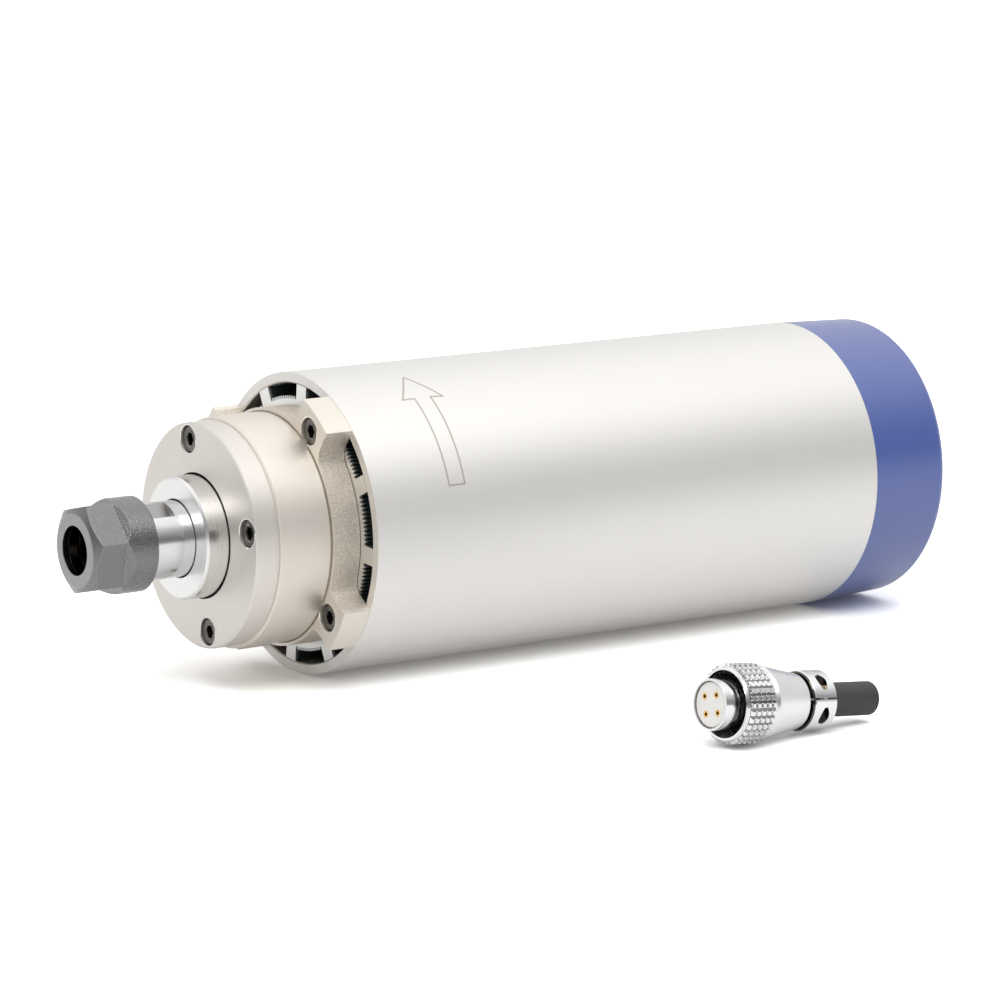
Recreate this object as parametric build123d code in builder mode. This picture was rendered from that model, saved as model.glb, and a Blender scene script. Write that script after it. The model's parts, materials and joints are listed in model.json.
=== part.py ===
from build123d import *
from math import atan2, cos, degrees, hypot, radians, sin
import os

# Air-cooled motor spindle with its loose power plug. All lengths are in millimetres.
# The spindle lies along X: its nose points to -X, the fan end to +X, and +Z is up.
# The origin is on the spindle axis, in the plane of the body tube's front rim.
# A position round the axis is an angle from the top, growing towards +Y.

# Body tube
body_diameter = 80.0
body_wall = 2.8
body_length = 164.4
rim_break = 0.35

# Finned cooling sleeve between the stator and the body tube
sleeve_setback = 0.12
sleeve_tail_space = 26.4
channel_depth = 4.2
sleeve_ring_wall = 3.5
spoke_count = 12
spoke_width = 4.6
screw_spoke_width = 9.6
channel_corner = 0.7
fin_count = 11
fin_height = 0.75
fin_width = 0.55
fin_pitch_angle = 1.85

# Front bearing housing: a barrel on a flange with four lugs
lug_count = 4
lug_angle = -35.0
lug_width = 13.2
lug_setback = 0.1
lug_root_fillet = 3.8
flange_thickness = 7.9
flange_step = 1.9
barrel_length = 15.1
barrel_step = 1.1
barrel_edge = 0.5
barrel_root_fillet = 0.35
spigot_wall = 3.0
lug_screw_inset = 5.85

# Front bearing cover
cover_thickness = 6.8
cover_step = 0.8
cover_edge = 0.45
cover_bore_gap = 0.36
cover_screw_angle = 10.0
cover_screw_share = 0.44

# Socket-head screws
housing_screw = 4.0
cap_screw = 3.0
screw_reach = 10.0
head_sink = 0.6
head_clearance = 0.2
counterbore_gap = 0.12
head_gap = 0.2

# Front bearing pair and rear bearing
front_bore = 20.0
front_outside = 42.0
front_width = 12.0
front_ball = 6.35
front_ball_count = 10
front_spacer = 2.0
front_nip = 1.0
rear_bore = 15.0
rear_outside = 35.0
rear_width = 11.0
rear_ball = 6.0
rear_ball_count = 8
ball_gap = 0.12
cage_wall = 1.5

# Nose: slinger ring, wrench flats, thread, collet seat and collet nut
slinger_radius = 16.04
slinger_stand = 6.5
slinger_edge = 0.6
slinger_bore_edge = 0.4
nose_setback = 0.8
flat_spacing = 19.0
flat_angle = -24.4
flat_start = 4.1
flat_end_gap = 0.1
relief_width = 1.0
relief_depth = 0.6
collet_mouth_radius = 8.2
collet_half_angle = 8.0
collet_depth = 24.0
draw_bore_radius = 3.0
draw_bore_depth = 12.0
nut_gap_to_slinger = 11.9
nut_length = 17.8
nut_collar_radius = 12.4
nut_collar_length = 8.9
nut_across_flats = 21.5
nut_ramp_rise = 2.6
nut_vertex_angle = -76.5
nut_face_radius = 9.45
nut_chamfer_angle = 30.0
nut_edge = 0.4
nut_mouth_radius = 6.45
nut_lip = 1.8
ring_length = 3.2
ring_wall = 0.7

# Stator, rotor and shaft
core_start = 34.0
core_tail_space = 34.0
core_slots = 18
slot_width = 4.0
yoke_width = 3.5
stator_bore_share = 0.61
air_gap = 0.5
winding_overhang = 15.0
winding_inset = 1.4
cage_ring_length = 4.0
cage_bar_radius = 1.1
shoulder_radius = 13.2
shoulder_length = 8.0
core_seat_radius = 11.5
tail_radius = 9.5
fan_seat_radius = 6.0

# Rear bearing housing
rear_flange_thickness = 7.0
rear_wall = 3.0
rear_bore_gap = 1.5
spring_height = 1.6
spring_gauge = 0.5
wire_hole_radius = 2.6

# Cooling fan
fan_gap = 1.6
fan_plate = 1.6
fan_depth = 11.0
fan_hub_radius = 10.5
fan_blades = 11
blade_gauge = 1.4
fan_stand = 2.0
fan_nut_flats = 16.0
fan_nut_length = 5.0
shaft_tip = 2.0

# Fan cover
cap_length = 25.5
cap_draft = 0.9
cap_wall = 2.4
cap_end_wall = 3.0
cap_edge = 2.2
cap_spigot = 6.0
column_radius = 3.7
vent_count = 18
vent_width = 2.6
vent_land = 2.4
vent_edge = 0.8

# Rear panel socket
socket_radius = 8.0
socket_wall = 1.35
socket_stand = 10.0
socket_thread_stand = 0.5
socket_mouth_step = 0.2
socket_tail = 6.0
socket_flange = 1.6
socket_flange_step = 2.4
socket_nut_flats = 21.0
socket_nut_length = 3.0
insulator_length = 6.0
contact_circle = 3.1
pin_radius = 0.75
pin_stand = 6.0
pin_tail = 3.0

# Loose plug, lying on the surface under the spindle
plug_ahead = 41.75
plug_clear = 90.5
plug_turn = 2.7
plug_roll = 14.0
coupling_mouth_gap = 1.98
coupling_grip_step = 0.85
coupling_grip_start = 0.6
coupling_grip_end = 8.7
coupling_lip = 2.8
coupling_edge = 0.5
groove_count = 32
groove_rings = 4
groove_depth = 0.35
groove_width = 0.7
plug_barrel_radius = 6.4
plug_barrel_stand = 4.5
plug_insert_recess = 0.45
plug_insert_step = 0.35
plug_insert_step_depth = 1.0
plug_insert_length = 11.0
plug_contact_radius = 0.85
plug_contact_bore = 0.45
plug_contact_depth = 5.0
shell_step = 0.6
shell_end_radius = 7.0
shell_length = 13.0
clamp_gap = 1.0
clamp_length = 7.8
clamp_wall = 2.73
clamp_split = 0.5
clamp_screw_radius = 0.8
clamp_screw_land = 0.22
clamp_screw_height = 2.2
clamp_head_radius = 1.35
clamp_head_height = 1.1
rubber_radius = 4.3
rubber_bore_radius = 1.5
rubber_stand = 17.0
rubber_round = 0.6
plug_wall = 1.1

# Fits
seat_gap = 0.02
running_gap = 0.06
turning_gap = 0.1

# Radii and stations that follow from the sizes above
body_radius = body_diameter / 2
body_bore_radius = body_radius - body_wall
sleeve_ring_radius = body_bore_radius - channel_depth
sleeve_bore_radius = sleeve_ring_radius - sleeve_ring_wall
stator_bore_radius = sleeve_bore_radius * stator_bore_share
sleeve_start = sleeve_setback
sleeve_end = body_length - sleeve_tail_space
flange_radius = sleeve_bore_radius + flange_step
barrel_radius = flange_radius - barrel_step
cover_radius = barrel_radius - cover_step
lug_radius = body_radius - lug_setback
lug_screw_circle = lug_radius - lug_screw_inset
pocket_radius = front_outside / 2 + seat_gap
cover_screw_circle = pocket_radius + (barrel_radius - pocket_radius) * cover_screw_share
cover_bore_radius = slinger_radius + cover_bore_gap
barrel_base = -flange_thickness
barrel_face = barrel_base - barrel_length
cover_face = barrel_face - cover_thickness
front_seat = barrel_face + front_nip
front_second = front_seat + front_width + front_spacer
front_stop = front_second + front_width
spigot_end = front_stop + spigot_wall
slinger_face = cover_face - slinger_stand
nut_back = slinger_face - nut_gap_to_slinger
nut_face = nut_back - nut_length
nut_lip_back = nut_face + nut_lip
ring_back = nut_lip_back + ring_length + turning_gap * 2
nose_face = ring_back + nose_setback
flat_length = nut_gap_to_slinger - flat_start - relief_width / 2 - flat_end_gap
shaft_radius = front_bore / 2
thread_radius = shaft_radius + running_gap
core_end = sleeve_end - core_tail_space
core_length = core_end - core_start
slot_depth = sleeve_bore_radius - stator_bore_radius - yoke_width
rear_face = sleeve_end + rear_flange_thickness
spring_stop = rear_face - rear_wall
rear_stop = spring_stop - spring_height
rear_seat = rear_stop - rear_width
fan_start = rear_face + fan_stand
fan_end = fan_start + fan_depth
cap_start = body_length
cap_end = cap_start + cap_length
cap_inside = cap_end - cap_end_wall
rear_screw_circle = body_bore_radius - housing_screw * 0.875 - head_clearance
column_circle = body_bore_radius - column_radius - head_clearance
fan_radius = column_circle - column_radius - fan_gap
vent_inner_radius = socket_nut_flats / 2 / cos(radians(30)) + vent_land
vent_outer_radius = column_circle - column_radius - vent_edge
socket_end = cap_end + socket_stand
socket_thread_end = cap_end + socket_nut_length + socket_thread_stand
socket_flange_radius = socket_radius + socket_flange_step
floor_height = -body_radius


def lathe(outline, base=Plane.XY, mode=Mode.ADD):
    """Turn a closed outline of (along, radius) points about the base plane's X direction."""
    with BuildSketch(base) as profile:
        with BuildLine():
            Polyline(*outline, close=True)
        make_face()
    revolve(profile.sketch, axis=Axis(base.origin, base.x_dir), mode=mode)


def ring_outline(start, end, inner, outer):
    """Section of a plain ring between two stations."""
    return [(start, inner), (end, inner), (end, outer), (start, outer)]


def station(along):
    """Plane across the spindle axis, with local X towards +Y and local Y up."""
    return Plane.YZ.offset(along)


def bore_circle(plane, circle, first, count, radius, depth, mode=Mode.SUBTRACT):
    """Round holes or bars on a circle; first is the first one's angle from the top."""
    with BuildSketch(plane) as rounds:
        with PolarLocations(circle, count, start_angle=90 - first):
            Circle(radius)
    extrude(rounds.sketch, amount=depth, mode=mode)


def socket_screws(size, seat, reach, circle, first, toward=1):
    """Four socket-head screws, heads on the plane at seat, shanks reaching past it."""
    top = seat - toward * size
    bore_circle(station(seat), circle, first, lug_count, size * 0.875, -toward * size, Mode.ADD)
    bore_circle(station(seat), circle, first, lug_count, size / 2, toward * reach, Mode.ADD)
    with BuildSketch(station(top)) as keys:
        with PolarLocations(circle, lug_count, start_angle=90 - first):
            RegularPolygon(size * 0.375, 6, major_radius=False)
    extrude(keys.sketch, amount=toward * size / 2, mode=Mode.SUBTRACT)


def rims(solid, along, radius):
    """Circular edges of one radius at one station of the spindle axis."""
    circles = solid.edges().filter_by(GeomType.CIRCLE)
    return circles.filter_by(
        lambda edge: abs(edge.arc_center.X - along) < 0.01 and abs(edge.radius - radius) < 0.01
    )


def race_outlines(start, width, bore, outside, ball):
    """Sections of an inner and an outer ring whose corners leave the ball track clear."""
    pitch = (bore + outside) / 4
    track = ball / 2 + ball_gap
    shoulder = ball * 0.27
    inner = ring_outline(start, start + width, bore / 2, pitch - shoulder)
    outer = ring_outline(start, start + width, pitch + shoulder, outside / 2)
    return pitch, track, inner, outer


def cut_track(start, width, pitch, track):
    """Groove in which the balls run."""
    with BuildSketch(Plane.XY) as groove:
        with Locations((start + width / 2, pitch)):
            Circle(track)
    revolve(groove.sketch, axis=Axis.X, mode=Mode.SUBTRACT)


def cut_pockets(plane, count, ball, reach):
    """Round pockets through a cage, one for each ball."""
    for number in range(count):
        angle = radians(number * 360 / count)
        with BuildSketch(Plane(plane.origin, x_dir=(1, 0, 0), z_dir=(0, cos(angle), sin(angle)))) as pocket:
            Circle(ball / 2 + ball_gap)
        extrude(pocket.sketch, amount=reach / 2, mode=Mode.SUBTRACT)


# Body tube
with BuildPart() as housing_tube:
    lathe(ring_outline(0, body_length, body_bore_radius, body_radius))
    chamfer(rims(housing_tube, 0, body_bore_radius), length=rim_break)

# Cooling sleeve: extruded ring with spokes that bear on the tube and fins in each channel
with BuildPart() as cooling_sleeve:
    with BuildSketch(station(sleeve_start)) as sleeve_section:
        Circle(sleeve_ring_radius)
        for count, width in ((spoke_count, spoke_width), (lug_count, screw_spoke_width)):
            with PolarLocations(body_bore_radius / 2, count, start_angle=90 - lug_angle):
                Rectangle(body_bore_radius, width)
        Circle(body_bore_radius - seat_gap, mode=Mode.INTERSECT)
        inner_corners = sleeve_section.vertices().filter_by(
            lambda corner: abs(hypot(corner.X, corner.Y) - sleeve_ring_radius) < 0.01
        )
        fillet(inner_corners, radius=channel_corner)
        comb_angle = (fin_count - 1) * fin_pitch_angle
        with PolarLocations(0, spoke_count, start_angle=90 - lug_angle + 180 / spoke_count):
            with PolarLocations(sleeve_ring_radius, fin_count, start_angle=-comb_angle / 2,
                                angular_range=comb_angle, endpoint=True):
                Rectangle(fin_height * 2, fin_width)
        Circle(sleeve_bore_radius, mode=Mode.SUBTRACT)
    extrude(sleeve_section.sketch, amount=sleeve_end - sleeve_start)
    screw_depth = screw_reach + head_sink
    bore_circle(station(sleeve_start), lug_screw_circle, lug_angle, lug_count,
                housing_screw / 2 + seat_gap, screw_depth)
    bore_circle(station(sleeve_end), rear_screw_circle, lug_angle, lug_count,
                housing_screw / 2 + seat_gap, -screw_depth)

# Front bearing housing
with BuildPart() as front_bearing_housing:
    lathe([
        (barrel_face, pocket_radius),
        (front_stop, pocket_radius),
        (front_stop, shoulder_radius + rear_bore_gap),
        (spigot_end, shoulder_radius + rear_bore_gap),
        (spigot_end, sleeve_bore_radius - seat_gap),
        (0, sleeve_bore_radius - seat_gap),
        (0, flange_radius),
        (barrel_base, flange_radius),
        (barrel_base, barrel_radius),
        (barrel_face, barrel_radius),
    ])
    chamfer(rims(front_bearing_housing, barrel_face, barrel_radius), length=barrel_edge)
    fillet(rims(front_bearing_housing, barrel_base, barrel_radius), radius=barrel_root_fillet)
    with BuildSketch(station(barrel_base)) as lug_section:
        Circle(flange_radius)
        with PolarLocations(lug_radius / 2, lug_count, start_angle=90 - lug_angle):
            Rectangle(lug_radius * 1.1, lug_width)
        Circle(lug_radius, mode=Mode.INTERSECT)
        roots = lug_section.vertices().filter_by(
            lambda corner: abs(hypot(corner.X, corner.Y) - flange_radius) < 0.01
        )
        fillet(roots, radius=lug_root_fillet)
        Circle(barrel_radius - barrel_root_fillet, mode=Mode.SUBTRACT)
    extrude(lug_section.sketch, amount=flange_thickness)
    head_depth = housing_screw + head_sink
    bore_circle(station(barrel_base), lug_screw_circle, lug_angle, lug_count,
                housing_screw * 0.875 + head_gap, head_depth)
    bore_circle(station(barrel_base), lug_screw_circle, lug_angle, lug_count,
                housing_screw / 2 + counterbore_gap, flange_thickness)
    bore_circle(station(barrel_face), cover_screw_circle, cover_screw_angle, lug_count,
                housing_screw / 2 + seat_gap, screw_reach)

# Front bearing cover, with the spigot that nips the bearings
with BuildPart() as front_bearing_cover:
    lathe([
        (cover_face, cover_bore_radius),
        (front_seat, cover_bore_radius),
        (front_seat, front_outside / 2 - seat_gap),
        (barrel_face, front_outside / 2 - seat_gap),
        (barrel_face, cover_radius),
        (cover_face, cover_radius),
    ])
    chamfer(rims(front_bearing_cover, cover_face, cover_radius), length=cover_edge)
    bore_circle(station(cover_face), cover_screw_circle, cover_screw_angle, lug_count,
                housing_screw * 0.875 + head_gap, head_depth)
    bore_circle(station(cover_face), cover_screw_circle, cover_screw_angle, lug_count,
                housing_screw / 2 + counterbore_gap, cover_thickness)

# Screws of the cover, of the front lugs and of the rear bearing housing
with BuildPart() as cover_screws:
    cover_seat = cover_face + head_depth
    socket_screws(housing_screw, cover_seat, barrel_face + screw_reach - cover_seat - head_sink,
                  cover_screw_circle, cover_screw_angle)
with BuildPart() as lug_screws:
    lug_seat = barrel_base + head_depth
    socket_screws(housing_screw, lug_seat, sleeve_start + screw_reach - lug_seat,
                  lug_screw_circle, lug_angle)
with BuildPart() as rear_housing_screws:
    socket_screws(housing_screw, rear_face, rear_face - sleeve_end + screw_reach,
                  rear_screw_circle, lug_angle, toward=-1)

# Front bearing pair: rings, spacers, balls and cages
front_starts = [front_seat, front_second]
front_pitch, front_track, _, _ = race_outlines(0, front_width, front_bore, front_outside, front_ball)
with BuildPart() as front_outer_rings:
    for start in front_starts:
        lathe(race_outlines(start, front_width, front_bore, front_outside, front_ball)[3])
        cut_track(start, front_width, front_pitch, front_track)
with BuildPart() as front_inner_rings:
    for start in front_starts:
        lathe(race_outlines(start, front_width, front_bore + seat_gap * 2,
                            front_outside - seat_gap * 2, front_ball)[2])
        cut_track(start, front_width, front_pitch, front_track)
spacer_start = front_seat + front_width
with BuildPart() as outer_spacer:
    lathe(ring_outline(spacer_start, front_second, front_pitch + front_ball * 0.3, front_outside / 2))
with BuildPart() as inner_spacer:
    lathe(ring_outline(spacer_start, front_second, shaft_radius + seat_gap,
                       front_pitch - front_ball * 0.3))
front_planes = [station(start + front_width / 2) for start in front_starts]
with BuildPart(*front_planes) as front_balls:
    with PolarLocations(front_pitch, front_ball_count):
        Sphere(front_ball / 2)
with BuildPart() as front_cages:
    for start in front_starts:
        lathe(ring_outline(start + front_width * 0.18, start + front_width * 0.82,
                           front_pitch - cage_wall / 2, front_pitch + cage_wall / 2))
    for plane in front_planes:
        cut_pockets(plane, front_ball_count, front_ball, front_outside)

# Rear bearing and its preload spring
rear_pitch, rear_track, _, _ = race_outlines(0, rear_width, rear_bore, rear_outside, rear_ball)
with BuildPart() as rear_outer_ring:
    lathe(race_outlines(rear_seat, rear_width, rear_bore, rear_outside, rear_ball)[3])
    cut_track(rear_seat, rear_width, rear_pitch, rear_track)
with BuildPart() as rear_inner_ring:
    lathe(race_outlines(rear_seat, rear_width, rear_bore + seat_gap * 2, rear_outside - seat_gap * 2,
                        rear_ball)[2])
    cut_track(rear_seat, rear_width, rear_pitch, rear_track)
rear_plane = station(rear_seat + rear_width / 2)
with BuildPart(rear_plane) as rear_balls:
    with PolarLocations(rear_pitch, rear_ball_count):
        Sphere(rear_ball / 2)
with BuildPart() as rear_cage:
    lathe(ring_outline(rear_seat + rear_width * 0.18, rear_seat + rear_width * 0.82,
                       rear_pitch - cage_wall / 2, rear_pitch + cage_wall / 2))
    cut_pockets(rear_plane, rear_ball_count, rear_ball, rear_outside)
with BuildPart() as preload_spring:
    lathe([
        (rear_stop, rear_outside / 2 - seat_gap),
        (rear_stop + spring_gauge, rear_outside / 2 - seat_gap),
        (spring_stop, rear_pitch + rear_ball / 4),
        (spring_stop - spring_gauge, rear_pitch + rear_ball / 4),
    ])

# Stator core with open slots, and the winding that fills them and bulges at both ends
with BuildPart() as stator_core:
    with BuildSketch(station(core_start)) as lamination:
        Circle(sleeve_bore_radius - seat_gap)
        Circle(stator_bore_radius, mode=Mode.SUBTRACT)
        with PolarLocations(stator_bore_radius + slot_depth / 2, core_slots):
            Rectangle(slot_depth, slot_width, mode=Mode.SUBTRACT)
        with PolarLocations(stator_bore_radius, core_slots):
            Rectangle(slot_depth / 2, slot_width / 3, mode=Mode.SUBTRACT)
    extrude(lamination.sketch, amount=core_length)
with BuildPart() as stator_winding:
    bulge_inner = stator_bore_radius + winding_inset
    bulge_outer = sleeve_bore_radius - winding_inset
    bar_length = slot_depth - winding_inset
    for bulge_start in (core_start - winding_overhang, core_end):
        with BuildSketch(Plane.XY) as bulge:
            with Locations((bulge_start + winding_overhang / 2, (bulge_inner + bulge_outer) / 2)):
                RectangleRounded(winding_overhang, bulge_outer - bulge_inner, winding_inset)
        revolve(bulge.sketch, axis=Axis.X)
    with BuildSketch(station(core_start - winding_inset)) as bars:
        with PolarLocations(bulge_inner + bar_length / 2, core_slots):
            Rectangle(bar_length - seat_gap, slot_width - seat_gap * 2)
    extrude(bars.sketch, amount=core_length + winding_inset * 2)

# Rear bearing housing: bearing pocket, bored wall, and lugs for the sleeve and for the fan cover
with BuildPart() as rear_bearing_housing:
    lathe([
        (rear_seat - front_nip, rear_outside / 2 + seat_gap),
        (spring_stop, rear_outside / 2 + seat_gap),
        (spring_stop, fan_seat_radius + 2 + rear_bore_gap),
        (rear_face, fan_seat_radius + 2 + rear_bore_gap),
        (rear_face, flange_radius),
        (sleeve_end, flange_radius),
        (sleeve_end, sleeve_bore_radius - seat_gap),
        (rear_seat - front_nip, sleeve_bore_radius - seat_gap),
    ])
    with BuildSketch(station(sleeve_end)) as rear_lugs:
        Circle(flange_radius)
        with PolarLocations(body_bore_radius / 2, lug_count * 2, start_angle=90 - lug_angle):
            Rectangle(body_bore_radius * 1.1, screw_spoke_width)
        Circle(body_bore_radius - seat_gap, mode=Mode.INTERSECT)
        Circle(flange_radius - 1, mode=Mode.SUBTRACT)
    extrude(rear_lugs.sketch, amount=rear_flange_thickness)
    bore_circle(station(sleeve_end), rear_screw_circle, lug_angle, lug_count,
                housing_screw / 2 + counterbore_gap, rear_flange_thickness)
    bore_circle(station(rear_face), column_circle, lug_angle + 180 / lug_count, lug_count,
                cap_screw / 2 + seat_gap, -rear_flange_thickness)
    bore_circle(station(rear_seat - front_nip), (rear_outside / 2 + sleeve_bore_radius) / 2,
                lug_angle, lug_count * 2,
                wire_hole_radius, rear_face - rear_seat + front_nip)

# Rotor core and its cast cage
rotor_radius = stator_bore_radius - air_gap
bar_circle = rotor_radius - cage_bar_radius * 2
with BuildPart() as rotor_core:
    lathe(ring_outline(core_start, core_end, core_seat_radius + seat_gap, rotor_radius))
    bore_circle(station(core_start), bar_circle, 0, core_slots, cage_bar_radius + seat_gap, core_length)
with BuildPart() as rotor_cage:
    for ring_start in (core_start - cage_ring_length, core_end):
        lathe(ring_outline(ring_start, ring_start + cage_ring_length, core_seat_radius + seat_gap,
                           rotor_radius - cage_bar_radius / 2))
    bore_circle(station(core_start), bar_circle, 0, core_slots, cage_bar_radius, core_length, Mode.ADD)

# Shaft: collet seat in the nose, wrench flats, bearing seats, rotor seat and fan seat
with BuildPart() as spindle_shaft:
    seat_bottom_radius = collet_mouth_radius - collet_depth * sin(radians(collet_half_angle)) / cos(
        radians(collet_half_angle))
    relief_start = nut_back - relief_width / 2
    lathe([
        (nose_face, collet_mouth_radius),
        (nose_face + collet_depth, seat_bottom_radius),
        (nose_face + collet_depth, draw_bore_radius),
        (nose_face + collet_depth + draw_bore_depth, draw_bore_radius),
        (nose_face + collet_depth + draw_bore_depth + draw_bore_radius, 0),
        (fan_end + fan_nut_length + shaft_tip, 0),
        (fan_end + fan_nut_length + shaft_tip, fan_seat_radius),
        (rear_stop, fan_seat_radius),
        (rear_stop, rear_bore / 2),
        (rear_seat, rear_bore / 2),
        (rear_seat, tail_radius),
        (core_end + cage_ring_length, tail_radius),
        (core_end + cage_ring_length, core_seat_radius),
        (front_stop + shoulder_length, core_seat_radius),
        (front_stop + shoulder_length, shoulder_radius),
        (front_stop, shoulder_radius),
        (front_stop, shaft_radius),
        (relief_start + relief_width, shaft_radius),
        (relief_start + relief_width, shaft_radius - relief_depth),
        (relief_start, shaft_radius - relief_depth),
        (relief_start, shaft_radius),
        (nose_face, shaft_radius),
    ])
    chamfer(rims(spindle_shaft, nose_face, shaft_radius), length=relief_depth)
    with BuildSketch(station(slinger_face - flat_start)) as flats:
        with PolarLocations(flat_spacing / 2 + shaft_radius / 2, 2, start_angle=90 - flat_angle):
            Rectangle(shaft_radius, shaft_radius * 2)
    extrude(flats.sketch, amount=-flat_length, mode=Mode.SUBTRACT)

# Slinger ring: shuts the cover's bore and clamps the front bearings' inner rings
with BuildPart() as slinger_ring:
    slinger_back = barrel_face - front_nip / 2
    lathe([
        (slinger_face, shaft_radius + slinger_bore_edge),
        (slinger_face + slinger_bore_edge, shaft_radius + seat_gap),
        (front_seat, shaft_radius + seat_gap),
        (front_seat, front_pitch - front_ball * 0.3),
        (slinger_back, front_pitch - front_ball * 0.3),
        (slinger_back, slinger_radius),
        (slinger_face, slinger_radius),
    ])
    chamfer(rims(slinger_ring, slinger_face, slinger_radius), length=slinger_edge)

# Cooling fan, its spacer and its nut
with BuildPart() as fan_spacer:
    lathe(ring_outline(rear_stop, fan_start, fan_seat_radius + seat_gap, fan_seat_radius + 2))
with BuildPart() as cooling_fan:
    lathe([
        (fan_start, fan_seat_radius + seat_gap),
        (fan_end, fan_seat_radius + seat_gap),
        (fan_end, fan_hub_radius - 1),
        (fan_start + fan_plate, fan_hub_radius),
        (fan_start + fan_plate, fan_radius),
        (fan_start, fan_radius),
    ])
    with BuildSketch(station(fan_start + fan_plate / 2)) as blades:
        with BuildLine(mode=Mode.PRIVATE) as blade_line:
            blade_root = fan_hub_radius - blade_gauge
            blade_tip = fan_radius - blade_gauge
            RadiusArc((blade_root, 0), (blade_tip * cos(radians(25)), blade_tip * sin(radians(25))),
                      fan_radius * 0.8)
        with PolarLocations(0, fan_blades):
            SlotArc(blade_line.line.edge(), blade_gauge)
    extrude(blades.sketch, amount=fan_depth - fan_plate)
with BuildPart() as fan_nut:
    with BuildSketch(station(fan_end)) as fan_nut_section:
        RegularPolygon(fan_nut_flats / 2, 6, major_radius=False)
        Circle(fan_seat_radius + seat_gap, mode=Mode.SUBTRACT)
    extrude(fan_nut_section.sketch, amount=fan_nut_length)

# Collet nut: round collar, hexagon whose flats run out up ramps, mouth and internal thread
ring_space_radius = nut_mouth_radius + ring_wall + 1.6
with BuildPart() as collet_nut:
    lathe([
        (nut_face, nut_mouth_radius),
        (nut_lip_back, nut_mouth_radius),
        (nut_lip_back, ring_space_radius),
        (ring_back, ring_space_radius),
        (ring_back, thread_radius),
        (nut_back, thread_radius),
        (nut_back, nut_collar_radius),
        (nut_face + (nut_collar_radius - nut_face_radius) * sin(radians(nut_chamfer_angle)) / cos(
            radians(nut_chamfer_angle)), nut_collar_radius),
        (nut_face, nut_face_radius),
    ])
    chamfer(rims(collet_nut, nut_back, nut_collar_radius), length=nut_edge)
    flat_end = nut_back - nut_collar_length
    with BuildSketch(station(flat_end)) as hexagon:
        Circle(nut_collar_radius * 1.2)
        RegularPolygon(nut_across_flats / 2, 6, major_radius=False, rotation=90 - nut_vertex_angle,
                       mode=Mode.SUBTRACT)
    extrude(hexagon.sketch, amount=nut_collar_length - nut_length, mode=Mode.SUBTRACT)
    for number in range(6):
        face_angle = radians(nut_vertex_angle + 30 + number * 60)
        face_side = Plane((0, 0, 0), x_dir=(1, 0, 0), z_dir=(0, -cos(face_angle), sin(face_angle)))
        with BuildSketch(face_side) as ramp:
            with BuildLine():
                Polyline((flat_end, nut_across_flats / 2), (flat_end, nut_across_flats / 2 + nut_ramp_rise),
                         (flat_end + nut_ramp_rise, nut_across_flats / 2 + nut_ramp_rise), close=True)
            make_face()
        extrude(ramp.sketch, amount=nut_across_flats / 2, both=True, mode=Mode.SUBTRACT)

# Extraction ring: sits loose behind the nut's lip and pulls the collet out
with BuildPart() as extraction_ring:
    ring_start = nut_lip_back + turning_gap
    lathe([
        (ring_start, nut_mouth_radius + turning_gap),
        (ring_start + ring_length, ring_space_radius - ring_wall),
        (ring_start + ring_length, ring_space_radius - running_gap),
        (ring_start, ring_space_radius - running_gap),
    ])

# Fan cover: drafted cup with a spigot, four columns and a slotted end wall
cap_front_radius = body_radius
cap_back_radius = body_radius - cap_draft
cap_bore_radius = body_bore_radius - cap_wall
column_angle = lug_angle + 180 / lug_count
with BuildPart() as fan_cover:
    lathe([
        (cap_start - cap_spigot, cap_bore_radius),
        (cap_inside, cap_bore_radius),
        (cap_inside, socket_radius + counterbore_gap),
        (cap_end, socket_radius + counterbore_gap),
        (cap_end, cap_back_radius),
        (cap_start, cap_front_radius),
        (cap_start, body_bore_radius - seat_gap),
        (cap_start - cap_spigot, body_bore_radius - seat_gap),
    ])
    fillet(rims(fan_cover, cap_end, cap_back_radius), radius=cap_edge)
    bore_circle(station(rear_face), column_circle, column_angle, lug_count, column_radius,
                cap_inside - rear_face, Mode.ADD)
    bore_circle(station(rear_face), column_circle, column_angle, lug_count,
                cap_screw / 2 + counterbore_gap, cap_end - rear_face)
    bore_circle(station(cap_end), column_circle, column_angle, lug_count,
                cap_screw * 0.875 + head_gap, -cap_screw - head_sink)
    with BuildSketch(station(cap_inside)) as vents:
        with PolarLocations((vent_inner_radius + vent_outer_radius) / 2, vent_count):
            SlotOverall(vent_outer_radius - vent_inner_radius, vent_width)
    extrude(vents.sketch, amount=cap_end_wall, mode=Mode.SUBTRACT)
with BuildPart() as fan_cover_screws:
    cap_seat = cap_end - cap_screw - head_sink
    socket_screws(cap_screw, cap_seat, cap_seat - rear_face + rear_flange_thickness - head_sink,
                  column_circle, column_angle, toward=-1)

# Rear panel socket: shell, locking nut, insulator and pins
with BuildPart() as rear_socket_shell:
    lathe([
        (cap_inside - socket_tail, socket_radius - socket_wall),
        (socket_end, socket_radius - socket_wall),
        (socket_end, socket_radius - socket_mouth_step),
        (socket_thread_end, socket_radius - socket_mouth_step),
        (socket_thread_end, socket_radius),
        (cap_inside, socket_radius),
        (cap_inside, socket_flange_radius),
        (cap_inside - socket_flange, socket_flange_radius),
        (cap_inside - socket_flange, socket_radius),
        (cap_inside - socket_tail, socket_radius),
    ])
with BuildPart() as rear_socket_nut:
    with BuildSketch(station(cap_end)) as socket_nut_section:
        RegularPolygon(socket_nut_flats / 2, 6, major_radius=False, rotation=90 - lug_angle)
        Circle(socket_radius + seat_gap, mode=Mode.SUBTRACT)
    extrude(socket_nut_section.sketch, amount=socket_nut_length)
insulator_start = cap_inside - socket_tail
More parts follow.
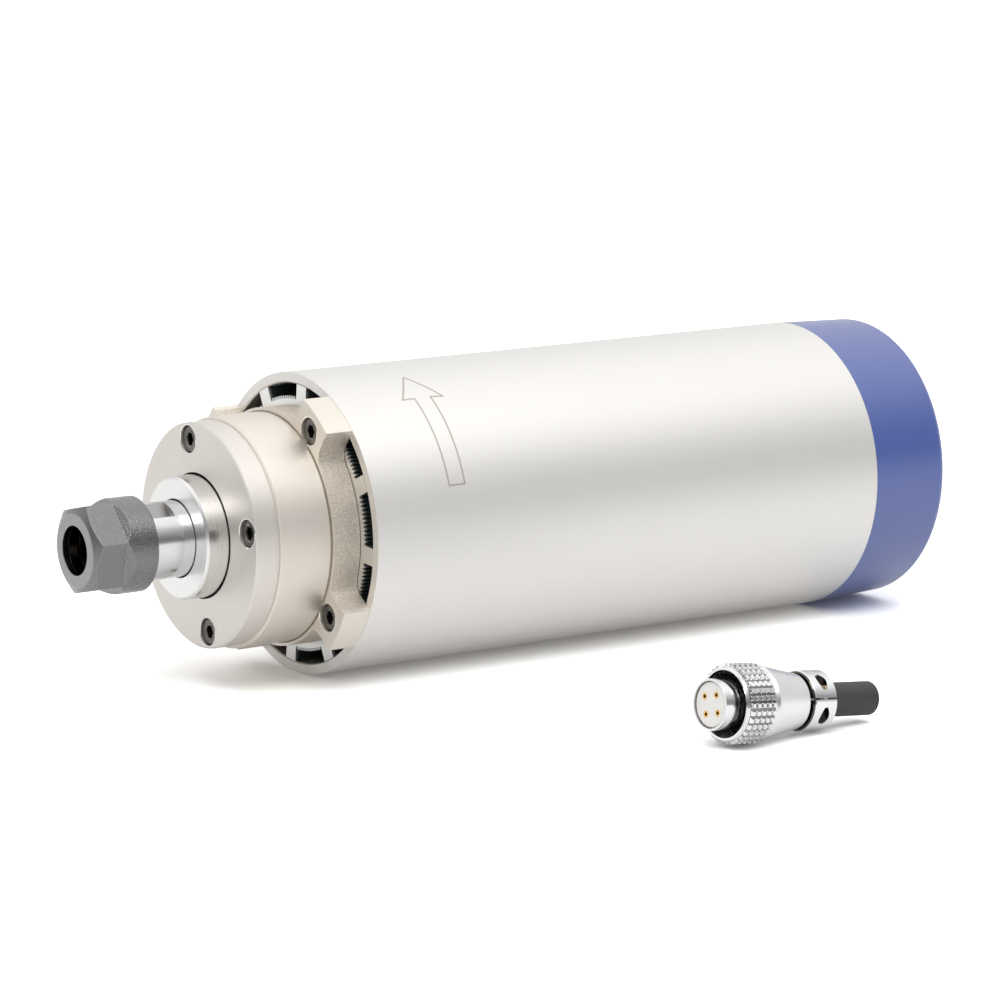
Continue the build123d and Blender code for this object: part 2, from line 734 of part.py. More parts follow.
with BuildPart() as rear_socket_insulator:
    lathe(ring_outline(insulator_start, insulator_start + insulator_length, 0,
                       socket_radius - socket_wall - seat_gap))
    bore_circle(station(insulator_start), contact_circle, 45, 4, pin_radius + seat_gap, insulator_length)
with BuildPart() as rear_socket_pins:
    bore_circle(station(insulator_start - pin_tail), contact_circle, 45, 4, pin_radius,
                pin_tail + insulator_length + pin_stand, Mode.ADD)

# Plug: its axis dips to the rear, because it rests on the grip and on the cable clamp
coupling_front_radius = plug_barrel_radius + coupling_mouth_gap + plug_wall * 0.7
coupling_grip_radius = coupling_front_radius + coupling_grip_step
coupling_length = coupling_grip_end + coupling_edge
coupling_mouth_depth = coupling_length - coupling_lip
shell_start_radius = coupling_grip_radius - shell_step
shell_end = coupling_length + shell_length
clamp_start = shell_end + clamp_gap
clamp_end = clamp_start + clamp_length
neck_radius = rubber_radius + plug_wall / 2
clamp_radius = neck_radius + seat_gap + clamp_wall
clamp_screw_offset = neck_radius + clamp_screw_radius + clamp_screw_land
rubber_end = clamp_end + rubber_stand
plug_tilt = degrees(atan2(coupling_grip_radius - clamp_radius, clamp_end - coupling_grip_end))
plug_direction = (
    cos(radians(plug_turn)) * cos(radians(plug_tilt)),
    sin(radians(plug_turn)) * cos(radians(plug_tilt)),
    -sin(radians(plug_tilt)),
)
plug_height = (floor_height + coupling_grip_end * sin(radians(plug_tilt))
               + coupling_grip_radius * cos(radians(plug_tilt)))
plug_origin = (plug_ahead, -body_radius - plug_clear, plug_height)
plug_side = (-sin(radians(plug_turn)), cos(radians(plug_turn)), 0)
plug_level = Plane(plug_origin, x_dir=plug_side, z_dir=plug_direction)
plug_across = (plug_level.x_dir * cos(radians(plug_roll))
               - plug_level.y_dir * sin(radians(plug_roll)))
plug_face = Plane(plug_origin, x_dir=plug_across, z_dir=plug_direction)
plug_profile = Plane(plug_origin, x_dir=plug_direction, z_dir=plug_side)
clamp_middle = Plane(plug_face.offset((clamp_start + clamp_end) / 2).origin, x_dir=plug_direction,
                     z_dir=plug_face.y_dir)
barrel_neck_radius = plug_barrel_radius + turning_gap
plug_barrel_front = -plug_barrel_stand
insert_radius = plug_barrel_radius - plug_wall / 2
insert_front = plug_barrel_front + plug_insert_recess

with BuildPart() as plug_coupling_ring:
    lathe([
        (0, coupling_front_radius - plug_wall * 0.7),
        (coupling_mouth_depth, coupling_front_radius - plug_wall * 0.7),
        (coupling_mouth_depth, barrel_neck_radius),
        (coupling_length, barrel_neck_radius),
        (coupling_length, coupling_grip_radius - groove_depth * 2),
        (coupling_grip_end, coupling_grip_radius),
        (coupling_grip_start, coupling_grip_radius),
        (coupling_grip_start, coupling_front_radius),
        (0, coupling_front_radius),
    ], plug_profile)
    with BuildSketch(plug_face.offset(coupling_grip_start)) as grooves:
        with PolarLocations(coupling_grip_radius, groove_count):
            Rectangle(groove_depth * 2, groove_width)
    extrude(grooves.sketch, amount=coupling_length - coupling_grip_start, mode=Mode.SUBTRACT)
    ring_pitch = (coupling_grip_end - coupling_grip_start) / (groove_rings + 1)
    for number in range(1, groove_rings + 1):
        groove_start = coupling_grip_start + ring_pitch * number - groove_width / 2
        lathe(ring_outline(groove_start, groove_start + groove_width, coupling_grip_radius - groove_depth,
                           coupling_grip_radius * 1.1), plug_profile, Mode.SUBTRACT)
with BuildPart() as plug_barrel:
    stop_start = coupling_mouth_depth - turning_gap
    lathe([
        (plug_barrel_front, insert_radius + seat_gap),
        (coupling_length + plug_wall * 3, insert_radius + seat_gap),
        (coupling_length + plug_wall * 3, plug_barrel_radius),
        (stop_start, plug_barrel_radius),
        (stop_start, plug_barrel_radius + plug_wall / 2),
        (stop_start - plug_wall, plug_barrel_radius + plug_wall / 2),
        (stop_start - plug_wall, plug_barrel_radius),
        (plug_barrel_front, plug_barrel_radius),
    ], plug_profile)
with BuildPart() as plug_insert:
    lathe([
        (insert_front, 0),
        (insert_front + plug_insert_length, 0),
        (insert_front + plug_insert_length, insert_radius),
        (insert_front + plug_insert_step_depth, insert_radius),
        (insert_front + plug_insert_step_depth, insert_radius - plug_insert_step),
        (insert_front, insert_radius - plug_insert_step),
    ], plug_profile)
    bore_circle(plug_face.offset(insert_front), contact_circle, 45, 4, plug_contact_radius + seat_gap,
                plug_insert_length)
with BuildPart() as plug_contacts:
    bore_circle(plug_face.offset(insert_front), contact_circle, 45, 4, plug_contact_radius,
                plug_insert_length + plug_wall * 2, Mode.ADD)
    bore_circle(plug_face.offset(insert_front), contact_circle, 45, 4, plug_contact_bore,
                plug_contact_depth)
with BuildPart() as plug_back_shell:
    shell_start = coupling_length + turning_gap
    lathe([
        (shell_start, plug_barrel_radius + seat_gap),
        (shell_start + plug_wall * 3, plug_barrel_radius + seat_gap),
        (shell_start + plug_wall * 4, rubber_radius + seat_gap),
        (clamp_end - plug_wall, rubber_radius + seat_gap),
        (clamp_end - plug_wall, neck_radius),
        (shell_end, neck_radius),
        (shell_end, shell_end_radius),
        (shell_start + plug_wall, shell_start_radius),
        (shell_start, shell_start_radius - plug_wall / 2),
    ], plug_profile)
with BuildPart() as plug_cable_clamp:
    lathe(ring_outline(clamp_start, clamp_end, neck_radius + seat_gap, clamp_radius), plug_profile)
    clamp_rims = plug_cable_clamp.edges().filter_by(GeomType.CIRCLE).group_by(SortBy.RADIUS)[-1]
    chamfer(clamp_rims, length=plug_wall / 2)
    with BuildSketch(plug_face.offset(clamp_start)) as split:
        Rectangle(clamp_radius * 2.2, clamp_split)
    extrude(split.sketch, amount=clamp_end - clamp_start, mode=Mode.SUBTRACT)
    for side in (-1, 1):
        for depth in (clamp_screw_height, -clamp_screw_height):
            with BuildSketch(clamp_middle.offset(depth)) as pocket:
                with Locations((0, side * clamp_screw_offset)):
                    Circle(clamp_head_radius + turning_gap)
            extrude(pocket.sketch, amount=depth * clamp_radius, mode=Mode.SUBTRACT)
        with BuildSketch(clamp_middle) as screw_hole:
            with Locations((0, side * clamp_screw_offset)):
                Circle(clamp_screw_radius + seat_gap)
        extrude(screw_hole.sketch, amount=clamp_screw_height, both=True, mode=Mode.SUBTRACT)
with BuildPart() as plug_clamp_screws:
    with BuildSketch(clamp_middle.offset(-clamp_screw_height)) as shanks:
        with Locations((0, clamp_screw_offset), (0, -clamp_screw_offset)):
            Circle(clamp_screw_radius)
    extrude(shanks.sketch, amount=clamp_screw_height * 2)
    with BuildSketch(clamp_middle.offset(clamp_screw_height)) as heads:
        with Locations((0, clamp_screw_offset), (0, -clamp_screw_offset)):
            Circle(clamp_head_radius)
    extrude(heads.sketch, amount=clamp_head_height)
    with BuildSketch(clamp_middle.offset(clamp_screw_height + clamp_head_height)) as slots:
        with Locations((0, clamp_screw_offset), (0, -clamp_screw_offset)):
            Rectangle(clamp_head_radius * 2.2, clamp_split)
    extrude(slots.sketch, amount=-clamp_head_height / 2, mode=Mode.SUBTRACT)
rubber_start = shell_end + plug_wall
with BuildPart() as plug_rubber_sleeve:
    lathe([
        (rubber_start, rubber_bore_radius),
        (rubber_end, rubber_bore_radius),
        (rubber_end, rubber_radius),
        (rubber_start, rubber_radius),
    ], plug_profile)
    rubber_rims = plug_rubber_sleeve.edges().filter_by(GeomType.CIRCLE)
    end_rims = rubber_rims.group_by(Axis(plug_origin, plug_direction))[-1]
    fillet(end_rims.group_by(SortBy.RADIUS)[-1], radius=rubber_round)

sub_parts = {
    "housing_tube": housing_tube,
    "cooling_sleeve": cooling_sleeve,
    "front_bearing_housing": front_bearing_housing,
    "front_bearing_cover": front_bearing_cover,
    "cover_screws": cover_screws,
    "lug_screws": lug_screws,
    "front_outer_rings": front_outer_rings,
    "outer_spacer": outer_spacer,
    "stator_core": stator_core,
    "stator_winding": stator_winding,
    "rear_bearing_housing": rear_bearing_housing,
    "rear_housing_screws": rear_housing_screws,
    "rear_outer_ring": rear_outer_ring,
    "preload_spring": preload_spring,
    "fan_cover": fan_cover,
    "fan_cover_screws": fan_cover_screws,
    "rear_socket_shell": rear_socket_shell,
    "rear_socket_nut": rear_socket_nut,
    "rear_socket_insulator": rear_socket_insulator,
    "rear_socket_pins": rear_socket_pins,
    "spindle_shaft": spindle_shaft,
    "slinger_ring": slinger_ring,
    "front_inner_rings": front_inner_rings,
    "inner_spacer": inner_spacer,
    "rear_inner_ring": rear_inner_ring,
    "rotor_core": rotor_core,
    "rotor_cage": rotor_cage,
    "fan_spacer": fan_spacer,
    "cooling_fan": cooling_fan,
    "fan_nut": fan_nut,
    "front_balls": front_balls,
    "front_cages": front_cages,
    "rear_balls": rear_balls,
    "rear_cage": rear_cage,
    "collet_nut": collet_nut,
    "extraction_ring": extraction_ring,
    "plug_coupling_ring": plug_coupling_ring,
    "plug_barrel": plug_barrel,
    "plug_insert": plug_insert,
    "plug_contacts": plug_contacts,
    "plug_back_shell": plug_back_shell,
    "plug_cable_clamp": plug_cable_clamp,
    "plug_clamp_screws": plug_clamp_screws,
    "plug_rubber_sleeve": plug_rubber_sleeve,
}

os.makedirs("parts", exist_ok=True)
for label, sub_part in sub_parts.items():
    sub_part.part.label = label
    export_step(sub_part.part, f"parts/{label}.step")
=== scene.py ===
import json
from math import cos, pi, radians, sin

import bmesh
import bpy
from mathutils import Matrix, Vector


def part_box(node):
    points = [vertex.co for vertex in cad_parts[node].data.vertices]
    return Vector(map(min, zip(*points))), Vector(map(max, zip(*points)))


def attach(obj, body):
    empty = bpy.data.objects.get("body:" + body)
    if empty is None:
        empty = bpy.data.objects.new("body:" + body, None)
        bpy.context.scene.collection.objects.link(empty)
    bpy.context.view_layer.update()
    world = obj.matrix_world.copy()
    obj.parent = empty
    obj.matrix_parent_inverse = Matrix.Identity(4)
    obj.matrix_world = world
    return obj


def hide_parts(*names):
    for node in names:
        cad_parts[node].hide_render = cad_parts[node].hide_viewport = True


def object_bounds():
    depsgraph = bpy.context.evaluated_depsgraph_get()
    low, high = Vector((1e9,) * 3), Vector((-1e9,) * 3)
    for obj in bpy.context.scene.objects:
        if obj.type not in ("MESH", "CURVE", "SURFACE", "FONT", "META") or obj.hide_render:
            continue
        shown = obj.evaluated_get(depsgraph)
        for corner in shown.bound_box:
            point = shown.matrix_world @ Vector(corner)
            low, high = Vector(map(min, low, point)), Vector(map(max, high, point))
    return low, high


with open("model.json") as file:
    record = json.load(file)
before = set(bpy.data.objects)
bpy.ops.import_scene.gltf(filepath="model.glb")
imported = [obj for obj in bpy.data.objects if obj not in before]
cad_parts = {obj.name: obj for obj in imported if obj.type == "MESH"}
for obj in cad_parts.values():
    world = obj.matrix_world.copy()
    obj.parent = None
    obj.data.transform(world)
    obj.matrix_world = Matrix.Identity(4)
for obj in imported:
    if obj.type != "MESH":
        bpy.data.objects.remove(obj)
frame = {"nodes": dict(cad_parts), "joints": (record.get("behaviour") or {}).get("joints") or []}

cad_low, cad_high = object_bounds()

# Camera, as in the photograph: a long lens close to the table, turned by about 35 degrees from the
# spindle's side and looking down by about 10. The spindle lies along X with its nose to -X.
scene = bpy.context.scene
scene.view_settings.view_transform = "Standard"
camera = bpy.data.objects.new("photo_camera", bpy.data.cameras.new("photo_camera"))
camera.location = (-0.5776, -0.9339, 0.2066)
camera.rotation_euler = (radians(79.643), 0, radians(-34.545))
camera.data.lens = 152.8
camera.data.clip_end = 60
scene.collection.objects.link(camera)
scene.camera = camera


# Table: a white sheet without an edge in view. To the light it is plain matt white. The camera sees
# it whiter, and seen or mirrored it glows faintly, so that only the contact shadows stay.
def node_adder(tree):
    """A short way of adding nodes to that tree, with their settings and with what feeds them."""
    def add(kind, inputs=(), **settings):
        node = tree.nodes.new(kind)
        for key, value in settings.items():
            setattr(node, key, value)
        for socket, source in inputs:
            if hasattr(source, "is_output"):
                tree.links.new(source, node.inputs[socket])
            else:
                node.inputs[socket].default_value = source
        return node

    return add


def compute(add, operation, *values):
    """Result of one operation on numbers and outputs."""
    return add("ShaderNodeMath", tuple(enumerate(values)), operation=operation).outputs[0]


def carry_over(add, value, low, high, start=0, end=1, **settings):
    """Carry a value from the span start to end over to the span low to high."""
    inputs = (("Value", value), ("From Min", start), ("From Max", end), ("To Min", low), ("To Max", high))
    return add("ShaderNodeMapRange", inputs, **settings).outputs["Result"]


floor_reach = 15.0
floor_height = cad_low.z - 0.00004
floor_white = 0.80
floor_white_seen = 1.4
floor_glow_seen = 0.02
floor_glow_mirrored = 0.10
floor_signs = ((-1, -1), (1, -1), (1, 1), (-1, 1))
floor_mesh = bpy.data.meshes.new("table_sheet")
floor_mesh.from_pydata([(x * floor_reach, y * floor_reach, floor_height) for x, y in floor_signs],
                       [], [(0, 1, 2, 3)])
table_sheet = bpy.data.objects.new("table_sheet", floor_mesh)
scene.collection.objects.link(table_sheet)

sheet_white = bpy.data.materials.new("sheet_white")
sheet_white.use_nodes = True
sheet_white.node_tree.nodes.clear()
add = node_adder(sheet_white.node_tree)
ray = add("ShaderNodeLightPath").outputs
paint = carry_over(add, ray["Is Camera Ray"], floor_white, floor_white_seen)
strength = carry_over(add, ray["Is Camera Ray"], floor_glow_mirrored, floor_glow_seen)
matt = add("ShaderNodeBsdfDiffuse", (("Color", paint),)).outputs[0]
glow = add("ShaderNodeEmission", (("Color", (1, 1, 1, 1)), ("Strength", strength))).outputs[0]
lit = add("ShaderNodeAddShader", ((0, matt), (1, glow))).outputs[0]
seen = compute(add, "MAXIMUM", ray["Is Camera Ray"], ray["Is Glossy Ray"])
seen_through = compute(add, "MAXIMUM", seen, ray["Is Transmission Ray"])
chosen = add("ShaderNodeMixShader", ((0, seen_through), (1, matt), (2, lit))).outputs[0]
add("ShaderNodeOutputMaterial", (("Surface", chosen),))
floor_mesh.materials.append(sheet_white)


# Room: a bright cloth tent overhead, a paler wall behind the spindle, and on the camera's side a
# dim strip just above the table, which is what draws the dark line along each round metal piece.
def mix_colors(add, share, first, second):
    """Colour between two, each a plain colour or an output."""
    ends = [end if hasattr(end, "is_output") else tuple(end) + (1,) for end in (first, second)]
    inputs = (("Factor", share), ("A", ends[0]), ("B", ends[1]))
    return add("ShaderNodeMix", inputs, data_type="RGBA").outputs["Result"]


def dot_product(add, first, second):
    return add("ShaderNodeVectorMath", ((0, first), (1, second)), operation="DOT_PRODUCT").outputs["Value"]


tent_front = ((0.0, 0.50), (0.08, 0.28), (0.22, 0.20), (0.34, 0.34), (0.45, 0.47), (0.6, 0.74), (0.72, 1.14),
              (0.85, 1.22), (1.0, 1.10))
tent_back = ((0.0, 0.95), (0.2, 0.8), (0.48, 0.84), (0.66, 1.15), (0.8, 1.3), (1.0, 1.12))
front_heading = (-0.567, -0.824, 0)
tent_seam = 0.25
room = bpy.data.worlds.new("room")
scene.world = room
room.use_nodes = True
room.node_tree.nodes.clear()
add = node_adder(room.node_tree)
heading = add("ShaderNodeTexCoord").outputs["Generated"]
height = add("ShaderNodeSeparateXYZ", ((0, heading),)).outputs["Z"]
sides = []
for stops in (tent_back, tent_front):
    ramp = add("ShaderNodeValToRGB", ((0, height),))
    while len(ramp.color_ramp.elements) < len(stops):
        ramp.color_ramp.elements.new(0.5)
    for element, (share, level) in zip(ramp.color_ramp.elements, stops):
        element.position = share
        element.color = (level, level, level, 1)
    sides.append(ramp.outputs["Color"])
turn_over = carry_over(add, dot_product(add, heading, front_heading), 0, 1, -tent_seam, tent_seam,
                       interpolation_type="SMOOTHSTEP")
cloth = add("ShaderNodeBackground", (("Color", mix_colors(add, turn_over, *sides)),)).outputs[0]
plain_white = add("ShaderNodeBackground", (("Color", (1, 1, 1, 1)),)).outputs[0]
seen = add("ShaderNodeLightPath").outputs["Is Camera Ray"]
chosen = add("ShaderNodeMixShader", ((0, seen), (1, cloth), (2, plain_white))).outputs[0]
add("ShaderNodeOutputWorld", (("Surface", chosen),))

# Lamp: one soft box of cloth over the camera's left shoulder. It gives the shadows on the table
# their direction and lifts the top of each round piece, and the tent does the rest.
soft_box = bpy.data.objects.new("soft_box", bpy.data.lights.new("soft_box", "AREA"))
soft_box.data.shape = "RECTANGLE"
soft_box.data.size = 1.3
soft_box.data.size_y = 0.7
soft_box.data.energy = 9.0
soft_box.location = (-0.25, -0.75, 1.25)
lit_spot = Vector((0.05, -0.02, 0))
soft_box.rotation_euler = (lit_spot - soft_box.location).to_track_quat("-Z", "Y").to_euler()
scene.collection.objects.link(soft_box)


# Body tube: thin-walled steel tube, plated and satin brushed round its girth, front rim broken
# by hand. It is the node of the frame, and the outlined arrow is marked on it by a laser.
def shader_of(finish):
    return finish.node_tree.nodes["Principled BSDF"]


def feed(finish, socket, source):
    """Join an output to a socket of the finish's shader, in place of what fed it before."""
    finish.node_tree.links.new(source, shader_of(finish).inputs[socket])


def fed_by(finish, socket):
    return shader_of(finish).inputs[socket].links[0].from_socket


def new_finish(name, metallic):
    """An empty material and a short way of adding nodes to it."""
    finish = bpy.data.materials.new(name)
    finish.use_nodes = True
    shader_of(finish).inputs["Metallic"].default_value = metallic
    return finish, node_adder(finish.node_tree)


def noise(add, place, scale, detail, roughness=0.5):
    inputs = (("Vector", place), ("Scale", scale), ("Detail", detail), ("Roughness", roughness))
    return add("ShaderNodeTexNoise", inputs).outputs["Fac"]


def shade(finish, color, spread, roughness, uneven, pattern, blotch, relief, depth, corner):
    """Colour that drifts with the blotches, gloss that follows the pattern, relief, broken corners."""
    add = node_adder(finish.node_tree)
    dark = tuple(channel * (1 - spread) for channel in color)
    pale = tuple(min(1, channel * (1 + spread)) for channel in color)
    inputs = [("Height", relief), ("Distance", depth)]
    if corner:
        inputs.append(("Normal", add("ShaderNodeBevel", (("Radius", corner),), samples=4).outputs[0]))
    feed(finish, "Base Color", mix_colors(add, blotch, dark, pale))
    feed(finish, "Roughness", carry_over(add, pattern, roughness - uneven, roughness + uneven))
    feed(finish, "Normal", add("ShaderNodeBump", inputs).outputs["Normal"])


def around_axis(add, axis=None):
    """Place, its three parts and its distance from the X axis, of the object or of another frame."""
    place = add("ShaderNodeTexCoord").outputs["Object"]
    if axis:
        inputs = (("Vector", place), ("Location", axis.translation), ("Rotation", axis.to_euler()))
        place = add("ShaderNodeMapping", inputs, vector_type="TEXTURE").outputs[0]
    parts = add("ShaderNodeSeparateXYZ", (("Vector", place),)).outputs
    flat = add("ShaderNodeCombineXYZ", (("Y", parts["Y"]), ("Z", parts["Z"]))).outputs[0]
    return place, parts, add("ShaderNodeVectorMath", ((0, flat),), operation="LENGTH").outputs["Value"]


def lathe_lines(add, parts, reach, line_gap):
    """Rings of that gap round the axis, which fade in and out along their way."""
    rings = add("ShaderNodeCombineXYZ", (("X", parts["X"]), ("Y", reach), ("Z", parts["Y"]))).outputs[0]
    fineness = (1 / line_gap, 1 / line_gap, 60)
    fine = add("ShaderNodeVectorMath", ((0, rings), (1, fineness)), operation="MULTIPLY").outputs[0]
    return noise(add, fine, scale=1.0, detail=3.0)


def turned_finish(name, color, roughness, line_gap, depth, spread=0.03, uneven=0.05, corner=0.00012,
                  axis=None):
    """Metal with fine rings round the X axis, or round that of another frame, as a lathe leaves them."""
    finish, add = new_finish(name, metallic=1.0)
    place, parts, reach = around_axis(add, axis)
    lines = lathe_lines(add, parts, reach, line_gap)
    blotch = noise(add, place, scale=70.0, detail=4.0)
    shade(finish, color, spread, roughness, uneven, lines, blotch, lines, depth, corner)
    return finish


def dress(node, finish):
    """Give a node of the frame its finish."""
    mesh = frame["nodes"][node].data
    mesh.materials.clear()
    mesh.materials.append(finish)


satin_tube = turned_finish("satin_tube", (0.80, 0.785, 0.76), roughness=0.52, line_gap=0.00035,
                           depth=0.0000012, spread=0.012)
dress("housing_tube", satin_tube)

arrow_line = 0.00042
arrow_rise = 0.00003
arrow_points = ((0.0260, -17.8), (0.01985, -32.2), (0.0235, -32.1), (0.02335, -70.5), (0.0282, -70.5),
                (0.02856, -31.9), (0.0323, -32.3))
arrow_step = radians(1.5)
arrow_sharpest = 0.35
tube_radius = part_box("housing_tube")[1].y


def unrolled_outline(points, width):
    """Inner and outer corners of a line of that width along a closed path on the unrolled tube."""
    flat = [Vector((along, radians(angle) * tube_radius)) for along, angle in points]
    inner, outer = [], []
    for number, corner in enumerate(flat):
        before = (corner - flat[number - 1]).normalized()
        after = (flat[(number + 1) % len(flat)] - corner).normalized()
        across = Vector((-before.y - after.y, before.x + after.x)).normalized()
        reach = width / 2 / max(arrow_sharpest, across.dot(Vector((-before.y, before.x))))
        inner.append(corner - across * reach)
        outer.append(corner + across * reach)
    return inner, outer


bm = bmesh.new()
inner, outer = unrolled_outline(arrow_points, arrow_line)
rows = []
for number in range(len(inner)):
    follow = (number + 1) % len(inner)
    span = abs(inner[follow].y - inner[number].y) / tube_radius
    count = max(1, int(span / arrow_step))
    for step in range(count):
        row = []
        for edge in (inner, outer):
            spot = edge[number].lerp(edge[follow], step / count)
            for rise in (-arrow_rise, arrow_rise):
                radius = tube_radius + rise
                angle = spot.y / tube_radius
                row.append(bm.verts.new((spot.x, radius * sin(angle), radius * cos(angle))))
        rows.append(row)
for number, row in enumerate(rows):
    ahead = rows[(number + 1) % len(rows)]
    for one, two in ((0, 1), (1, 3), (3, 2), (2, 0)):
        bm.faces.new((row[one], row[two], ahead[two], ahead[one]))
bmesh.ops.recalc_face_normals(bm, faces=bm.faces)
arrow_mesh = bpy.data.meshes.new("turn_arrow")
bm.to_mesh(arrow_mesh)
bm.free()
turn_arrow = bpy.data.objects.new("turn_arrow", arrow_mesh)
scene.collection.objects.link(turn_arrow)
laser_mark = turned_finish("laser_mark", (0.50, 0.46, 0.41), roughness=0.62, line_gap=0.0001,
                           depth=0.000004, spread=0.08, corner=0)
arrow_mesh.materials.append(laser_mark)
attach(turn_arrow, "housing")


# Cooling sleeve: extruded aluminium ring pressed round the stator. Its sawn face is bright, and
# the walls of the air channels behind it are painted a dark green grey: painted shade.
def paint_over(finish, color, zone):
    """Lay a colour over the base colour of a finish where the zone's output is 1."""
    before = fed_by(finish, "Base Color")
    feed(finish, "Base Color", mix_colors(node_adder(finish.node_tree), zone, before, color))


sleeve_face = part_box("cooling_sleeve")[0].x
sawn_edge = 0.00005
channel_shade = 0.0010
channel_painted_shade = (0.035, 0.055, 0.052)
channel_metallic = 0.35
sawn_sleeve, add = new_finish("sawn_sleeve", metallic=1.0)
place = add("ShaderNodeTexCoord").outputs["Object"]
drawn_out = add("ShaderNodeMapping", (("Vector", place), ("Scale", (60, 2500, 2500)))).outputs[0]
draw_lines = noise(add, drawn_out, scale=1.0, detail=3.0)
soot = noise(add, place, scale=900.0, detail=4.0)
shade(sawn_sleeve, (0.80, 0.80, 0.78), spread=0.06, roughness=0.36, uneven=0.08, pattern=draw_lines,
      blotch=soot, relief=draw_lines, depth=0.000008, corner=0.00008)
along = add("ShaderNodeSeparateXYZ", (("Vector", place),)).outputs["X"]
in_channel = carry_over(add, along, 0, 1, sleeve_face + sawn_edge, sleeve_face + channel_shade,
                        interpolation_type="SMOOTHSTEP")
# The channel walls are painted dark and less metallic: painted shade behind the sawn face.
paint_over(sawn_sleeve, channel_painted_shade, in_channel)
feed(sawn_sleeve, "Metallic", carry_over(add, in_channel, 1.0, channel_metallic))
dress("cooling_sleeve", sawn_sleeve)


# Front and rear bearing housings and the front cover: cast iron turned all over and nickel
# plated, a little warmer than the tube. The coves between the lugs are only milled, brownish and
# with a coarse grain along the axis, and the plated faces carry fine rings.
def ring_zone(finish, nearest, farthest, start=-1, end=1, axis=None):
    """One inside a ring: between two distances from the axis, and between two stations along it."""
    add = node_adder(finish.node_tree)
    place, parts, reach = around_axis(add, axis)
    zone = 1.0
    for value, low, high in ((reach, nearest, farthest), (parts["X"], start, end)):
        above = compute(add, "GREATER_THAN", value, low)
        below = compute(add, "LESS_THAN", value, high)
        zone = compute(add, "MULTIPLY", compute(add, "MULTIPLY", above, below), zone)
    return zone


plating_line_gap = 1 / 3300
milled_reach = 0.0386
milled_depth = 24.0
milled_dullness = 0.28
milled_dark = (0.54, 0.49, 0.42)
milled_pale = (0.80, 0.74, 0.66)


def plated_finish(name, color, roughness, milled_from=1, milled_to=1):
    """Plated turning marks, with a coarse milled grain between two stations of the X axis."""
    finish, add = new_finish(name, metallic=1.0)
    place, parts, reach = around_axis(add)
    lines = lathe_lines(add, parts, reach, plating_line_gap)
    stretched = add("ShaderNodeMapping", (("Vector", place), ("Scale", (1500, 2800, 2800)))).outputs[0]
    grain = noise(add, stretched, scale=1.0, detail=5.0, roughness=0.65)
    milled = ring_zone(finish, 0, milled_reach, milled_from, milled_to)
    coarse = compute(add, "MULTIPLY", grain, milled)
    relief = compute(add, "MULTIPLY_ADD", coarse, milled_depth, lines)
    blotch = noise(add, place, scale=90.0, detail=5.0)
    shade(finish, color, spread=0.025, roughness=roughness, uneven=0.05, pattern=lines, blotch=blotch,
          relief=relief, depth=0.0000018, corner=0.00014)
    gloss = fed_by(finish, "Roughness")
    feed(finish, "Roughness", compute(add, "MULTIPLY_ADD", coarse, milled_dullness, gloss))
    sparkle = carry_over(add, grain, 0, 1, 0.35, 0.65)
    paint_over(finish, mix_colors(add, sparkle, milled_dark, milled_pale), milled)
    return finish


flange_face = -0.0079
flange_edge = 0.0001
flange_back = 0.0004
rear_flange_face = 0.1382
rear_flange_back = 0.1449
plated_housing = plated_finish("plated_housing", (0.78, 0.735, 0.67), roughness=0.50,
                               milled_from=flange_face + flange_edge, milled_to=flange_back)
plated_cover = plated_finish("plated_cover", (0.74, 0.705, 0.66), roughness=0.48)
plated_rear = plated_finish("plated_rear", (0.77, 0.735, 0.69), roughness=0.48,
                            milled_from=rear_flange_face, milled_to=rear_flange_back)
root_line_color = (0.30, 0.25, 0.19)
root_line_width = 0.00035
barrel_inside = 0.029
barrel_radius = 0.0303
# A dark brown line is painted round the barrel's root, in its corner with the flange face.
barrel_root = ring_zone(plated_housing, barrel_inside, barrel_radius + root_line_width,
                        flange_face - root_line_width, flange_face + flange_edge)
paint_over(plated_housing, root_line_color, barrel_root)
cover_gap_painted_shade = (0.02, 0.018, 0.016)
cover_bore_radius = 0.01652
# The cover's bore is painted black: painted shade in the gap round the slinger.
paint_over(plated_cover, cover_gap_painted_shade, ring_zone(plated_cover, 0, cover_bore_radius))
dress("front_bearing_housing", plated_housing)
dress("front_bearing_cover", plated_cover)
dress("rear_bearing_housing", plated_rear)


# Socket-head cap screws: cold-headed steel, blackened. The head has a knurled side, a rounded
# rim and a hexagon socket with a drilled bottom, and the shank a rolled thread.
def add_turned(bm, outline, angles, place=Matrix(), shape=None, closed=False):
    """Skin an outline of (along, radius, kind) points round local X; shape may change the radius."""
    rings = []
    for along, radius, kind in outline:
        ring = []
        for angle in angles:
            reach = shape(along, radius, angle, kind) if shape else radius
            ring.append(bm.verts.new(place @ Vector((along, reach * sin(angle), reach * cos(angle)))))
        rings.append(ring)
    follow = rings[1:] + rings[:1] if closed else rings[1:]
    count = len(angles)
    for ring, ahead in zip(rings, follow):
        for number in range(count):
            after = (number + 1) % count
            bm.faces.new((ring[number], ring[after], ahead[after], ahead[number]))
    if not closed:
        bm.faces.new(rings[0])
        bm.faces.new(rings[-1])


def even_angles(count):
    return [2 * pi * number / count for number in range(count)]


def make_piece(bm, name, finish, body, stands_for=(), sharp=35):
    """Turn the built mesh into a piece of the object with its finish and body."""
    bmesh.ops.recalc_face_normals(bm, faces=bm.faces)
    mesh = bpy.data.meshes.new(name)
    bm.to_mesh(mesh)
    bm.free()
    mesh.shade_smooth()
    mesh.set_sharp_from_angle(angle=radians(sharp))
    mesh.materials.append(finish)
    piece = bpy.data.objects.new(name, mesh)
    scene.collection.objects.link(piece)
    if stands_for:
        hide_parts(*stands_for)
    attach(piece, body)
    return piece


